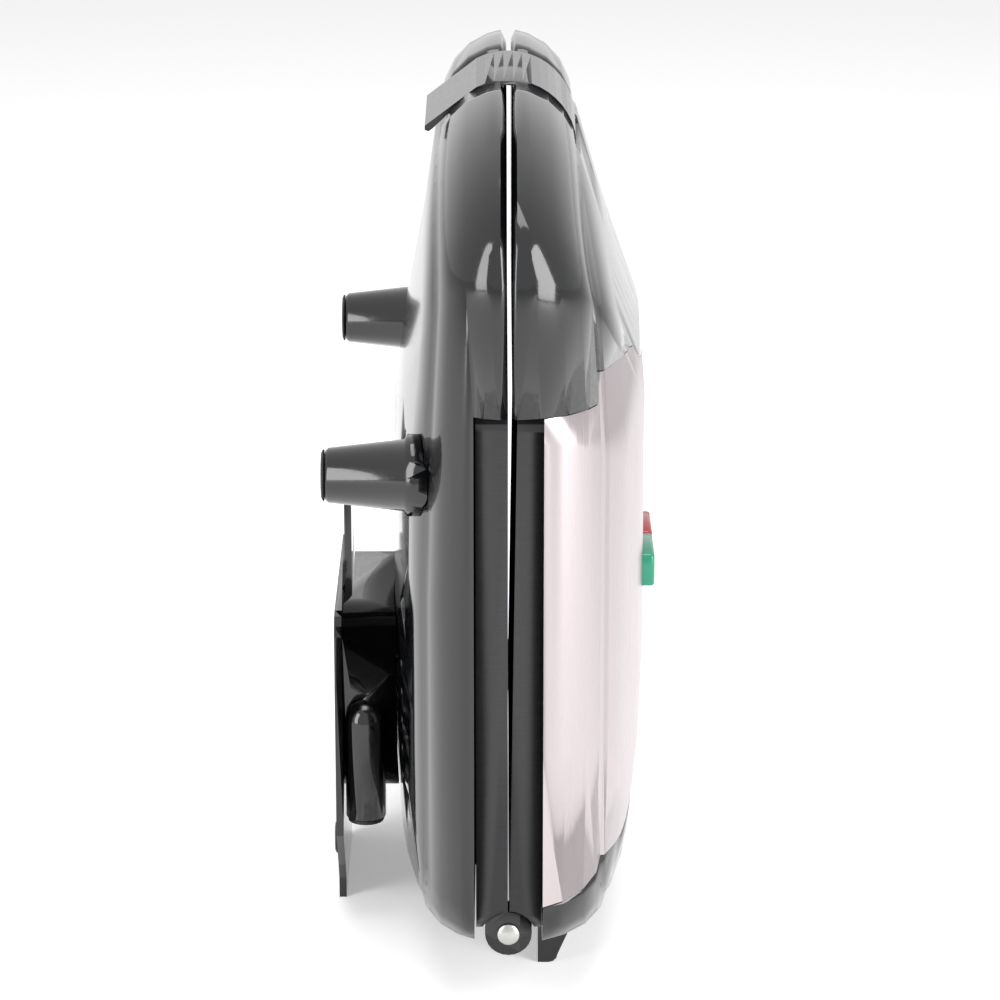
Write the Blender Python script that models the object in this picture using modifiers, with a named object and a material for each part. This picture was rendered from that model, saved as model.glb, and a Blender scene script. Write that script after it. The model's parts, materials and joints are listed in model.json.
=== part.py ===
"""A two-slice sandwich maker, standing upright on its hinge end with the lid latched.

Metres, +Z up. The handle is at the top, the lid lies towards +X and the base towards -X.
The hinge runs along Y at the foot. Both halves share one plan, drawn in Y and Z, and each
rises outwards from the seam, which lies at X = 0 until the last step. That step moves the whole
along X, to put the origin on the standing surface under the middle of the object.
"""

import math

import bmesh
import bpy
from mathutils import Matrix, Vector

# Shared sizes
CLEARANCE = 0.0003
OVERRUN = 0.002
SHELL_WALL = 0.0025
BASE_SEAM = 0.0005
LID_SEAM = 0.0009
SEAM_ROUND = 0.0022
SEAM_ROUND_DROP = 0.0086
SEAM_ROUND_SIDE_SHARE = 0.25

# Plan of both shells, in Y and Z
PLAN_HALF_WIDTH = 0.112
PLAN_REAR = 0.0195
PLAN_FRONT = 0.2435
REAR_CORNER = 0.014
FRONT_CORNER_WIDTH = 0.080
FRONT_CORNER_DEPTH = 0.032
HANDLE_HALF_THICKNESS = 0.0187
SIDE_ROLL = 0.022
REAR_ROLL = 0.006
CREASE_STEP = 0.0009
CREASE_WIDTH = 0.0012
RIM_NOTCH_DEPTH = 0.0093
RIM_NOTCH_TOP = 0.1735

# Lid heights above the seam
LID_SHOULDER = 0.026
LID_CROWN = 0.0384
LID_SHOULDER_BEND = (0.178, 0.220)
LID_CROWN_BEND = (0.162, 0.229)
LID_REAR_FALL = 0.0045
LID_REAR_FALL_START = 0.075

# Base heights below the seam
BASE_SHOULDER = 0.0225
BASE_CROWN = 0.0321
BASE_SHOULDER_BEND = (0.120, 0.215)
BASE_CROWN_BEND = (0.140, 0.240)
BASE_REAR_FALL = 0.0020
BASE_REAR_FALL_START = 0.060

# Steel skin on the lid
SKIN_THICKNESS = 0.0007
SKIN_SIDE_FRONT = 0.1735
SKIN_SHOULDER_FRONT = 0.1805
SKIN_SHOULDER_HALF = 0.090
SKIN_CUSP_FRONT = 0.1775
SKIN_CUSP_HALF = 0.062
SKIN_LOBE_FRONT = 0.1640
SKIN_LOBE_HALF = 0.046
SKIN_SIDE_REAR = 0.0330
SKIN_SHOULDER_REAR = 0.0410
SKIN_MIDDLE_REAR = 0.0350
SKIN_MIDDLE_REAR_HALF = 0.060

# Stand foot under the lid's rear
STAND_HALF_WIDTH = 0.070
STAND_INNER = 0.0084
STAND_OUTER = 0.0140
STAND_ROOT_OUTER = 0.0225
STAND_FILLET_LEVEL = 0.0090
STAND_FILLET_OUTER = 0.0168
STAND_ROUND = 0.0025
STAND_ROOT_DEPTH = 0.0040

# Hinge
HINGE_LEVEL = 0.0249
LID_REST_ANGLE = math.radians(0.8)
PIN_RADIUS = 0.0021
PIN_HEAD_RADIUS = 0.0030
PIN_HEAD_LENGTH = 0.0012
EAR_RADIUS = 0.0064
EAR_THICKNESS = 0.0036
EAR_OUTER_Y = 0.1060
EAR_GAP = 0.0005
EAR_ROOT_HEIGHT = 0.0100
EAR_NOTCH_CLEARANCE = 0.0009

# Cooking plates
PLATE_HALF_WIDTH = 0.1075
PLATE_REAR = 0.0262
PLATE_FRONT = 0.1728
PLATE_RIM_DEPTH = 0.0088
PLATE_SEAM = 0.0002
PLATE_CORNER = 0.004
PAN_HALF_WIDTH = 0.0985
PAN_REAR = 0.0380
PAN_FRONT = 0.1640
PAN_DEPTH = 0.0140
PAN_CORNER = 0.012
POCKET_DEPTH = 0.0108
POCKET_MARGIN = 0.0035
POCKET_RIDGE = 0.0070
POCKET_FLOOR_SHARE = 0.80
BOSS_RADIUS = 0.0048
BOSS_Y = 0.0550
BOSS_FRONT_Z = 0.1500
BOSS_REAR_Z = 0.1010
SHELL_BOSS_RADIUS = 0.0054
SHELL_BOSS_DEPTH = 0.0050
SHELL_BOSS_ROOT = 0.0012
HOLLOW_FRONT = 0.1715

# Screws
SCREW_RADIUS = 0.0017
SCREW_HEAD_RADIUS = 0.0034
SCREW_HEAD_HEIGHT = 0.0018
SCREW_LENGTH = 0.0120
SCREW_SLOT_DEPTH = 0.0008
SCREW_SLOT_WIDTH = 0.0009
SCREW_RECESS = 0.0006

# Heating elements and reflectors
ELEMENT_RADIUS = 0.0030
ELEMENT_HALF_WIDTH = 0.0660
ELEMENT_FRONT = 0.1380
ELEMENT_REAR = 0.0560
ELEMENT_BEND = 0.0200
ELEMENT_END_Y = 0.0300
REFLECTOR_THICKNESS = 0.0006
REFLECTOR_HALF_WIDTH = 0.0700
REFLECTOR_REAR = 0.0460
REFLECTOR_FRONT = 0.1575
REFLECTOR_GAP = 0.0006
REFLECTOR_LIP = 0.0030

# Front legs on the base
LEG_Y = 0.0794
LEG_Z = 0.1480
LEG_REACH = 0.0495
LEG_TIP_RADIUS = 0.0075
LEG_ROOT_RADIUS = 0.0098
LEG_COLLAR_LEVEL = 0.0265
LEG_COLLAR_RADIUS = 0.0112
LEG_COLLAR_HEIGHT = 0.0016
LEG_ROOT_LEVEL = 0.0195
LEG_SPIGOT_RADIUS = 0.0080
TIP_HEIGHT = 0.0022
TIP_RADIUS = 0.0070
TIP_CROWN = 0.0008
TIP_STEM_RADIUS = 0.0040
TIP_STEM_LENGTH = 0.0040

# Cord wrap under the base
WRAP_HALF_WIDTH = 0.0330
WRAP_CORE_REAR = 0.0375
WRAP_CORE_FRONT = 0.0900
WRAP_CORE_ROUND = 0.0060
WRAP_OUTER = 0.0495
WRAP_FLANGE_THICKNESS = 0.0021
WRAP_FLANGE_OVERHANG = 0.0070
WRAP_FLANGE_FRONT = 0.0930
WRAP_TONGUE_HALF_WIDTH = 0.0120
WRAP_TONGUE_FRONT = 0.1240
WRAP_FLANGE_CORNER = 0.0060
WRAP_FOOT_HALF_WIDTH = 0.0240
WRAP_SHOULDER_Z = 0.0260
WRAP_TONGUE_STEP = 0.0022
PAD_RADIUS = 0.0048
PAD_HEIGHT = 0.0008
PAD_Y = 0.0210
PAD_Z = 0.0180
HOOD_Y_REACH = 0.0065
HOOD_RADIUS = 0.0058
HOOD_TOP = 0.0660
HOOD_BOTTOM = 0.0310
HOOD_LEVEL = 0.0410
GLAND_RADIUS = 0.0042
GLAND_BORE = 0.0034
GLAND_LENGTH = 0.0080
GLAND_FLANGE = 0.0012

# Vents in the base's underside
VENT_COUNT = 5
VENT_LENGTH = 0.0180
VENT_WIDTH = 0.0022
VENT_PITCH = 0.0085
VENT_Y = 0.0560
VENT_REAR_Z = 0.0480

# Latch
LATCH_HALF_WIDTH = 0.0195
LATCH_THICKNESS = 0.0016
LATCH_GAP = 0.0006
LATCH_PIVOT_X = 0.0165
LATCH_PIVOT_Z = 0.2262
LATCH_KNUCKLE_RADIUS = 0.0024
LATCH_PIN_RADIUS = 0.0011
LATCH_PIN_OVERHANG = 0.0040
LATCH_PROUD = 0.0004
LATCH_TAB_REACH = 0.0040
LATCH_TAB_Z = 0.2292
LATCH_RECESS_LOW = 0.2225
LATCH_RECESS_LOW_BASE = 0.2270

# Indicator lamps
LENS_LENGTH = 0.0202
LENS_WIDTH = 0.0098
LENS_PROUD = 0.0029
LENS_SKIRT = 0.0040
LENS_ROUND = 0.0010
LENS_Z = 0.1003
LENS_PITCH = 0.0208
LAMP_RADIUS = 0.0027
LAMP_LENGTH = 0.0120
HOLDER_DEPTH = 0.0050
HOLDER_WALL = 0.0012
HOLDER_LEVEL = 0.0240

# Thermostat, fuse, terminal block and internal leads
THERMOSTAT_RADIUS = 0.0080
THERMOSTAT_HEIGHT = 0.0060
THERMOSTAT_Y = 0.0000
THERMOSTAT_Z = 0.1200
THERMOSTAT_LEG_WIDTH = 0.0042
THERMOSTAT_LEG_REACH = 0.0130
FUSE_RADIUS = 0.0021
FUSE_LENGTH = 0.0150
BLOCK_LENGTH = 0.0240
BLOCK_WIDTH = 0.0110
BLOCK_HEIGHT = 0.0075
BLOCK_Z = 0.0640
LEAD_RADIUS = 0.0011
SLEEVE_RADIUS = 0.0024

WHITE_METAL = (0.62, 0.60, 0.60)
GLOSS_BLACK = (0.012, 0.012, 0.014)
CAST_BLACK = (0.030, 0.030, 0.032)


def material(name, colour, roughness, metallic=0.0):
    made = bpy.data.materials.get(name) or bpy.data.materials.new(name)
    made.use_nodes = True
    shader = made.node_tree.nodes["Principled BSDF"]
    shader.inputs["Base Color"].default_value = (*colour, 1.0)
    shader.inputs["Roughness"].default_value = roughness
    shader.inputs["Metallic"].default_value = metallic
    return made


def clear_scene():
    for old in list(bpy.data.objects):
        bpy.data.objects.remove(old)


def collection(name, hidden=False):
    made = bpy.data.collections.new(name)
    bpy.context.scene.collection.children.link(made)
    made.hide_render = hidden
    return made


clear_scene()
PARTS = collection("sandwich_maker")
CUTTERS = collection("cutters", hidden=True)

BLACK = material("gloss_black_plastic", GLOSS_BLACK, 0.12)
CAST = material("nonstick_cast_aluminium", CAST_BLACK, 0.45, 0.3)
STEEL = material("brushed_stainless_steel", WHITE_METAL, 0.28, 1.0)
SHEET = material("aluminised_sheet", (0.70, 0.70, 0.71), 0.35, 1.0)
RUBBER = material("black_rubber", (0.02, 0.02, 0.02), 0.8)
ZINC = material("zinc_plated_steel", (0.60, 0.60, 0.58), 0.35, 1.0)
SHEATH = material("element_sheath", (0.33, 0.31, 0.30), 0.5, 1.0)
RED = material("red_lens", (0.45, 0.01, 0.01), 0.15)
GREEN = material("green_lens", (0.0, 0.22, 0.12), 0.15)
GLASS = material("lamp_glass", (0.75, 0.72, 0.68), 0.1)
CERAMIC = material("white_ceramic", (0.75, 0.73, 0.68), 0.6)
FIBRE = material("glass_fibre_sleeve", (0.70, 0.68, 0.60), 0.9)


def place(obj, look, name, hidden):
    """Links a new object as a part, or as a cutter that the render leaves out."""
    obj.name = name
    if look is not None:
        obj.data.materials.append(look)
    (CUTTERS if hidden else PARTS).objects.link(obj)
    if hidden:
        obj.hide_render = True
        obj.display_type = "WIRE"
    return obj


def from_bmesh(bm, name, look=None, hidden=False):
    bmesh.ops.recalc_face_normals(bm, faces=bm.faces[:])
    mesh = bpy.data.meshes.new(name)
    bm.to_mesh(mesh)
    bm.free()
    return place(bpy.data.objects.new(name, mesh), look, name, hidden)


def smooth(obj, degrees=35):
    obj.data.shade_smooth()
    obj.data.set_sharp_from_angle(angle=math.radians(degrees))
    return obj


def block(name, low, high, look=None, hidden=False):
    """A box between two corners."""
    bm = bmesh.new()
    bmesh.ops.create_cube(bm, size=1)
    low, high = Vector(low), Vector(high)
    size = high - low
    bmesh.ops.scale(bm, vec=size, verts=bm.verts)
    bmesh.ops.translate(bm, vec=(low + high) / 2, verts=bm.verts)
    return from_bmesh(bm, name, look, hidden)


def rod(name, start, end, radius, look=None, hidden=False, end_radius=None, sides=20):
    """A cylinder or cone between two points."""
    start, end = Vector(start), Vector(end)
    along = end - start
    bm = bmesh.new()
    bmesh.ops.create_cone(
        bm,
        cap_ends=True,
        segments=sides,
        radius1=radius,
        radius2=radius if end_radius is None else end_radius,
        depth=along.length,
    )
    turn = along.to_track_quat("Z", "Y").to_matrix().to_4x4()
    bmesh.ops.transform(bm, matrix=Matrix.Translation((start + end) / 2) @ turn, verts=bm.verts)
    return smooth(from_bmesh(bm, name, look, hidden))


def boolean(obj, cutter, operation="DIFFERENCE"):
    modifier = obj.modifiers.new(f"{operation.lower()}_{cutter.name}", "BOOLEAN")
    modifier.operation = operation
    modifier.object = cutter
    return obj


def bevel(obj, width, segments=2, degrees=40):
    modifier = obj.modifiers.new("rounded_edges", "BEVEL")
    modifier.width = width
    modifier.segments = segments
    modifier.limit_method = "ANGLE"
    modifier.angle_limit = math.radians(degrees)
    return obj


def turned(name, profile, look, centre, axis, sides=28, hidden=False):
    """A profile of (radius, height) pairs turned about the local Z, then laid along axis from centre."""
    mesh = bpy.data.meshes.new(name)
    points = [(radius, 0, height) for radius, height in profile]
    edges = [(i, i + 1) for i in range(len(points) - 1)]
    if points[0] == points[-1]:
        points.pop()
        edges[-1] = (len(points) - 1, 0)
    mesh.from_pydata(points, edges, [])
    obj = place(bpy.data.objects.new(name, mesh), look, name, hidden)
    screw = obj.modifiers.new("turned", "SCREW")
    screw.steps = screw.render_steps = sides
    screw.use_merge_vertices = True
    screw.merge_threshold = 0.00001
    screw.use_smooth_shade = True
    obj.location = centre
    obj.rotation_mode = "QUATERNION"
    obj.rotation_quaternion = Vector(axis).to_track_quat("Z", "Y")
    return obj


def solid_copy(obj, name, look=None, hidden=False):
    """A welded mesh of the object as it is shown, in world space, in place of the object."""
    bpy.context.view_layer.update()
    graph = bpy.context.evaluated_depsgraph_get()
    mesh = bpy.data.meshes.new_from_object(obj.evaluated_get(graph))
    mesh.transform(obj.matrix_world)
    bm = bmesh.new()
    bm.from_mesh(mesh)
    bmesh.ops.remove_doubles(bm, verts=bm.verts, dist=CLEARANCE / 30)
    bpy.data.meshes.remove(mesh)
    bpy.data.objects.remove(obj)
    return from_bmesh(bm, name, look, hidden)


def tube(name, points, radius, look, resolution=2, hidden=False):
    """A round wire along a smooth curve through the points."""
    curve = bpy.data.curves.new(name, "CURVE")
    curve.dimensions = "3D"
    curve.bevel_depth = radius
    curve.bevel_resolution = resolution
    curve.use_fill_caps = True
    spline = curve.splines.new("POLY")
    path = smooth_path([Vector(p) for p in points])
    spline.points.add(len(path) - 1)
    for target, point in zip(spline.points, path):
        target.co = (*point, 1)
    return solid_copy(place(bpy.data.objects.new(name, curve), None, name + "_line", hidden), name, look, hidden)


def smooth_path(points, steps=3):
    """Catmull-Rom points through the given ones."""
    ends = [2 * points[0] - points[1], *points, 2 * points[-1] - points[-2]]
    path = []
    for a, b, c, d in zip(ends, ends[1:], ends[2:], ends[3:]):
        for i in range(steps):
            t = i / steps
            path.append(
                0.5 * ((2 * b) + (c - a) * t + (2 * a - 5 * b + 4 * c - d) * t**2 + (3 * b - a - 3 * c + d) * t**3)
            )
    return [*path, points[-1]]


def prism(name, outline, low, high, axis="X", look=None, hidden=False):
    """A flat outline pushed from low to high along an axis. The outline is in (Y, Z) for X and in (X, Z) for Y."""
    curve = bpy.data.curves.new(name, "CURVE")
    curve.dimensions = "2D"
    curve.fill_mode = "BOTH"
    curve.extrude = (high - low) / 2
    spline = curve.splines.new("POLY")
    spline.points.add(len(outline) - 1)
    for target, (u, v) in zip(spline.points, outline):
        target.co = (u, v, 0, 1)
    spline.use_cyclic_u = True
    obj = place(bpy.data.objects.new(name, curve), None, name + "_outline", hidden)
    middle = (low + high) / 2
    if axis == "X":
        obj.matrix_world = Matrix(((0, 0, 1, middle), (1, 0, 0, 0), (0, 1, 0, 0), (0, 0, 0, 1)))
    else:
        obj.matrix_world = Matrix(((1, 0, 0, 0), (0, 0, -1, middle), (0, 1, 0, 0), (0, 0, 0, 1)))
    return solid_copy(obj, name, look, hidden)


def arc(centre, radius, start, end, steps):
    """Points on an arc in a plane, with angles in degrees."""
    found = []
    for i in range(steps + 1):
        turn = math.radians(start + (end - start) * i / steps)
        found.append((centre[0] + radius * math.cos(turn), centre[1] + radius * math.sin(turn)))
    return found


def rounded_box_outline(half, low, high, corner, steps=3):
    """A rectangle, symmetric about the second axis, with round corners."""
    return (
        arc((half - corner, low + corner), corner, -90, 0, steps)
        + arc((half - corner, high - corner), corner, 0, 90, steps)
        + arc((corner - half, high - corner), corner, 90, 180, steps)
        + arc((corner - half, low + corner), corner, 180, 270, steps)
    )


def ease(value, start, end):
    """0 before start, 1 after end, and a smooth S between them."""
    t = min(max((value - start) / (end - start), 0), 1)
    return t * t * (3 - 2 * t)


class Half:
    """One half's outer form: a shared plan and its own heights above the seam."""

    def __init__(self, side, seam, shoulder, crown, shoulder_bend, crown_bend, rear_fall, rear_fall_start):
        self.side = side
        self.seam = seam
        self.shoulder = shoulder
        self.crown = crown
        self.shoulder_bend = shoulder_bend
        self.crown_bend = crown_bend
        self.rear_fall = rear_fall
        self.rear_fall_start = rear_fall_start

    def height(self, y, z):
        """The roof's height: a shoulder line at the sides and a crown between, both falling to the handle."""
        fall = self.rear_fall * (max(0, self.rear_fall_start - z) / (self.rear_fall_start - PLAN_REAR)) ** 2
        to_handle = ease(z, *self.shoulder_bend)
        shoulder = self.shoulder + (HANDLE_HALF_THICKNESS - self.shoulder) * to_handle - fall / 3
        to_handle = ease(z, *self.crown_bend)
        crown = self.crown + (HANDLE_HALF_THICKNESS - self.crown) * to_handle - fall
        across = min(abs(y) / (PLAN_HALF_WIDTH - SIDE_ROLL), 1)
        return shoulder + (crown - shoulder) * (1 - across**2)

    def under(self, y, z, offset=0):
        """X of a point on the roof, sunk by offset."""
        return self.side * (self.height(y, z) - offset)


LID = Half(
    1, LID_SEAM, LID_SHOULDER, LID_CROWN, LID_SHOULDER_BEND, LID_CROWN_BEND, LID_REAR_FALL, LID_REAR_FALL_START
)
BASE = Half(
    -1, BASE_SEAM, BASE_SHOULDER, BASE_CROWN, BASE_SHOULDER_BEND, BASE_CROWN_BEND, BASE_REAR_FALL, BASE_REAR_FALL_START
)


def plan(width_inset, front_inset, rear_inset):
    """The closed plan as (Y, Z) points: straight rear and sides, small rear corners and long elliptical front ones."""
    half = PLAN_HALF_WIDTH - width_inset
    front = PLAN_FRONT - front_inset
    rear = PLAN_REAR + rear_inset
    shrink = half / PLAN_HALF_WIDTH
    corner = REAR_CORNER * shrink
    wide = FRONT_CORNER_WIDTH * shrink
    deep = FRONT_CORNER_DEPTH * (front - rear) / (PLAN_FRONT - PLAN_REAR)
    points = [(half * share, rear) for share in (0, 0.2, 0.4, 0.6)]
    points += arc((half - corner, rear + corner), corner, -90, 0, 3)
    side_low, side_high = rear + corner, front - deep
    points += [(half, side_low + (side_high - side_low) * share) for share in (0.25, 0.5, 0.75)]
    for i in range(9):
        turn = math.radians(90 * i / 8)
        points.append((half - wide + wide * math.cos(turn), front - deep + deep * math.sin(turn)))
    mirrored = [(-y, z) for y, z in reversed(points[1:])]
    return points + [(0, front)] + mirrored


def half_solid(half, offset, name, rolls=5, roofs=4):
    """Everything under a half's outer form sunk by offset, down to just past the seam."""
    edge = plan(offset + SEAM_ROUND_DROP * SEAM_ROUND_SIDE_SHARE, offset + SEAM_ROUND_DROP, offset)
    rings = [[(-OVERRUN, y, z) for y, z in edge]]
    roof_ring = plan(SIDE_ROLL, HANDLE_HALF_THICKNESS, REAR_ROLL)
    for i in range(rolls + 1):
        turn = math.radians(90 * i / rolls)
        gone = 1 - math.cos(turn)
        ring = plan(
            offset + (SIDE_ROLL - offset) * gone,
            offset + (HANDLE_HALF_THICKNESS - offset) * gone,
            offset + (REAR_ROLL - offset) * gone,
        )
        rings.append(
            [
                ((half.height(*top) - offset) * math.sin(turn) if i else SEAM_ROUND, y, z)
                for (y, z), top in zip(ring, roof_ring)
            ]
        )
    width = PLAN_HALF_WIDTH - SIDE_ROLL
    length = PLAN_FRONT - HANDLE_HALF_THICKNESS - PLAN_REAR - REAR_ROLL
    for i in range(roofs):
        share = i / roofs
        in_width = SIDE_ROLL + (width * share if i else CREASE_WIDTH)
        in_front = HANDLE_HALF_THICKNESS + (length * share / 2 if i else CREASE_WIDTH)
        in_rear = REAR_ROLL + (length * share / 2 if i else CREASE_WIDTH)
        ring = plan(in_width, in_front, in_rear)
        rings.append([(half.height(y, z) + CREASE_STEP - offset, y, z) for y, z in ring])
    bm = bmesh.new()
    rows = [[bm.verts.new((half.side * x, y, z)) for x, y, z in ring] for ring in rings]
    count = len(rows[0])
    for lower, upper in zip(rows, rows[1:]):
        for i in range(count):
            j = (i + 1) % count
            bm.faces.new((lower[i], lower[j], upper[j], upper[i]))
    middle = (PLAN_FRONT - HANDLE_HALF_THICKNESS + PLAN_REAR + REAR_ROLL) / 2
    top = bm.verts.new((half.side * (half.height(0, middle) + CREASE_STEP - offset), 0, middle))
    bottom = bm.verts.new((half.side * -OVERRUN, 0, middle))
    for i in range(count):
        bm.faces.new((rows[-1][i], rows[-1][(i + 1) % count], top))
        bm.faces.new((rows[0][i], rows[0][(i + 1) % count], bottom))
    bmesh.ops.triangulate(bm, faces=bm.faces[:])
    return from_bmesh(bm, name, hidden=True)


def housing(name, half):
    """A shell under a half's outer form, with its rim cut back where the cooking plates show."""
    shell = solid_copy(half_solid(half, 0, name + "_form"), name, BLACK)
    hollow = half_solid(half, SHELL_WALL, name + "_hollow", rolls=3, roofs=2)
    reach = half.side * PLAN_HALF_WIDTH
    keep = ordered((-reach, -PLAN_HALF_WIDTH, 0), (reach, PLAN_HALF_WIDTH, HOLLOW_FRONT))
    boolean(hollow, block(name + "_hollow_limit", *keep, hidden=True), "INTERSECT")
    boolean(shell, hollow)
    low = (half.side * -OVERRUN * 4, -PLAN_HALF_WIDTH - OVERRUN, -OVERRUN)
    high = (half.side * RIM_NOTCH_DEPTH, PLAN_HALF_WIDTH + OVERRUN, RIM_NOTCH_TOP)
    notch = block(name + "_rim_notch", *ordered(low, high), hidden=True)
    boolean(shell, leaned(notch) if half is LID else notch)
    low = (half.side * -OVERRUN * 2, -PLAN_HALF_WIDTH - OVERRUN, RIM_NOTCH_TOP - OVERRUN)
    high = (half.side * half.seam, PLAN_HALF_WIDTH + OVERRUN, PLAN_FRONT + OVERRUN)
    boolean(shell, block(name + "_seam", *ordered(low, high), hidden=True))
    return shell


def leaned(obj):
    """The object's mesh leaned away from the seam by the angle at which the latch holds the upper plate."""
    lean = math.tan(LID_REST_ANGLE)
    shear = Matrix.Identity(4)
    shear[0][2] = lean
    shear[0][3] = -lean * HINGE_LEVEL
    obj.data.transform(shear)
    return obj


def ordered(a, b):
    """The lowest and highest corner of two corners."""
    return tuple(map(min, a, b)), tuple(map(max, a, b))


def skin_region(name, shrink, low, high):
    """The plan of the steel skin, pushed through the lid. Shrink draws every edge inwards."""
    out = PLAN_HALF_WIDTH + OVERRUN
    front = [
        (out, SKIN_SIDE_FRONT - shrink),
        (SKIN_SHOULDER_HALF + SIDE_ROLL / 3, SKIN_SIDE_FRONT - shrink),
        (SKIN_SHOULDER_HALF, SKIN_SHOULDER_FRONT - shrink),
        (SKIN_CUSP_HALF, SKIN_CUSP_FRONT - shrink),
    ]
    turns = 8
    for i in range(1, turns + 1):
        turn = math.radians(90 * i / turns)
        depth = SKIN_CUSP_FRONT - SKIN_LOBE_FRONT
        front.append((SKIN_LOBE_HALF * math.cos(turn), SKIN_CUSP_FRONT - shrink - depth * math.sin(turn)))
    rear = [
        (0, SKIN_MIDDLE_REAR + shrink),
        (SKIN_MIDDLE_REAR_HALF, SKIN_MIDDLE_REAR + shrink),
        (SKIN_SHOULDER_HALF, SKIN_SHOULDER_REAR + shrink),
        (out, SKIN_SIDE_REAR + shrink),
    ]
    right = rear + front
    left = [(-y, z) for y, z in reversed(right) if y > 0]
    return prism(name, right + left, low, high, hidden=True)


def lid_shells():
    """The black lid moulding with its stand foot, and the steel skin sunk into it."""
    lid = housing("lid_housing", LID)
    sunk = SKIN_THICKNESS + CLEARANCE
    band = solid_copy(half_solid(LID, -OVERRUN, "skin_band"), "skin_recess", hidden=True)
    boolean(band, half_solid(LID, sunk, "skin_floor"))
    reach = LID_CROWN + OVERRUN * 3
    boolean(band, skin_region("skin_recess_plan", 0, -OVERRUN * 3, reach), "INTERSECT")
    boolean(lid, band)
    skin = solid_copy(half_solid(LID, 0, "skin_form"), "steel_skin", STEEL)
    boolean(skin, half_solid(LID, SKIN_THICKNESS, "skin_inside"))
    boolean(skin, skin_region("skin_plan", CLEARANCE, RIM_NOTCH_DEPTH, reach), "INTERSECT")
    return lid, skin


def stand_foot(lid):
    """The skirt under the lid's rear that the upright object stands on, joined to the lid."""
    root = PLAN_REAR + STAND_ROOT_DEPTH
    outline = [
        (STAND_INNER + RIM_NOTCH_DEPTH - STAND_INNER, root),
        (STAND_INNER, PLAN_REAR),
        (STAND_INNER, 0),
        *arc((STAND_OUTER - STAND_ROUND, STAND_ROUND), STAND_ROUND, -90, 0, 3),
        (STAND_FILLET_OUTER, STAND_FILLET_LEVEL),
        (STAND_ROOT_OUTER, PLAN_REAR),
        (STAND_ROOT_OUTER, root),
    ]
    foot = prism("stand_skirt", outline, -STAND_HALF_WIDTH, STAND_HALF_WIDTH, "Y", hidden=True)
    return boolean(lid, foot, "UNION")


def cooking_plate(name, side):
    """A cast plate: a rim, a deeper pan behind it and four triangular pockets in its face."""
    rim = rounded_box_outline(PLATE_HALF_WIDTH, PLATE_REAR, PLATE_FRONT, PLATE_CORNER)
    pan = rounded_box_outline(PAN_HALF_WIDTH, PAN_REAR, PAN_FRONT, PAN_CORNER)
    low, high = sorted((side * PLATE_SEAM, side * PLATE_RIM_DEPTH))
    plate = prism(name, rim, low, high, look=CAST)
    if side > 0:
        leaned(plate)
    low, high = sorted((side * (PLATE_RIM_DEPTH - OVERRUN), side * PAN_DEPTH))
    boolean(plate, prism(name + "_pan", pan, low, high, hidden=True), "UNION")
    for number, corners in enumerate(pocket_corners()):
        boolean(plate, pocket(f"{name}_pocket_{number}", corners, side))
    half = LID if side > 0 else BASE
    for number, (y, z) in enumerate(boss_places()):
        top = half.under(y, z, SHELL_BOSS_DEPTH + CLEARANCE)
        start = (side * (PAN_DEPTH - OVERRUN), y, z)
        boolean(plate, rod(f"{name}_boss_{number}", start, (top, y, z), BOSS_RADIUS, hidden=True), "UNION")
        bore_start = (top + side * OVERRUN, y, z)
        bore_end = (top - side * (SCREW_LENGTH - SHELL_BOSS_DEPTH + OVERRUN), y, z)
        bore = SCREW_RADIUS + CLEARANCE
        boolean(plate, rod(f"{name}_bore_{number}", bore_start, bore_end, bore, hidden=True, sides=12))
    return plate


def pocket_corners():
    """The four triangles of two bread slices, each slice cut along its diagonal."""
    left = POCKET_RIDGE / 2
    right = PAN_HALF_WIDTH - POCKET_MARGIN
    low = PAN_REAR + POCKET_MARGIN
    high = PAN_FRONT - POCKET_MARGIN
    gap = POCKET_RIDGE * 0.9
    for mirror in (1, -1):
        yield [(mirror * y, z) for y, z in ((left, low), (right - gap, low), (left, high - gap))]
        yield [(mirror * y, z) for y, z in ((left + gap, high), (right, low + gap), (right, high))]


def pocket(name, corners, side):
    """A triangular pocket whose walls slope in towards its floor."""
    centre = Vector((sum(y for y, _ in corners) / 3, sum(z for _, z in corners) / 3))
    mouth = round_triangle(corners, POCKET_RIDGE)
    bm = bmesh.new()
    rings = []
    for depth, share in ((-OVERRUN, 1), (POCKET_DEPTH / 2, 0.93), (POCKET_DEPTH, POCKET_FLOOR_SHARE)):
        ring = [centre + (Vector(p) - centre) * share for p in mouth]
        rings.append([bm.verts.new((side * depth, y, z)) for y, z in ring])
    for lower, upper in zip(rings, rings[1:]):
        for i in range(len(lower)):
            j = (i + 1) % len(lower)
            bm.faces.new((lower[i], lower[j], upper[j], upper[i]))
    bm.faces.new(rings[0])
    bm.faces.new(rings[-1])
    return from_bmesh(bm, name, hidden=True)


def round_triangle(corners, radius):
    """A triangle's points with each corner swapped for three points on a curve."""
    found = []
    for i, corner in enumerate(corners):
        here = Vector(corner)
        before = (Vector(corners[i - 1]) - here).normalized() * radius
        after = (Vector(corners[(i + 1) % 3]) - here).normalized() * radius
        for t in (0, 0.33, 0.67, 1):
            found.append(tuple(here + before * (1 - t) ** 2 + after * t**2))
    return found


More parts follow.
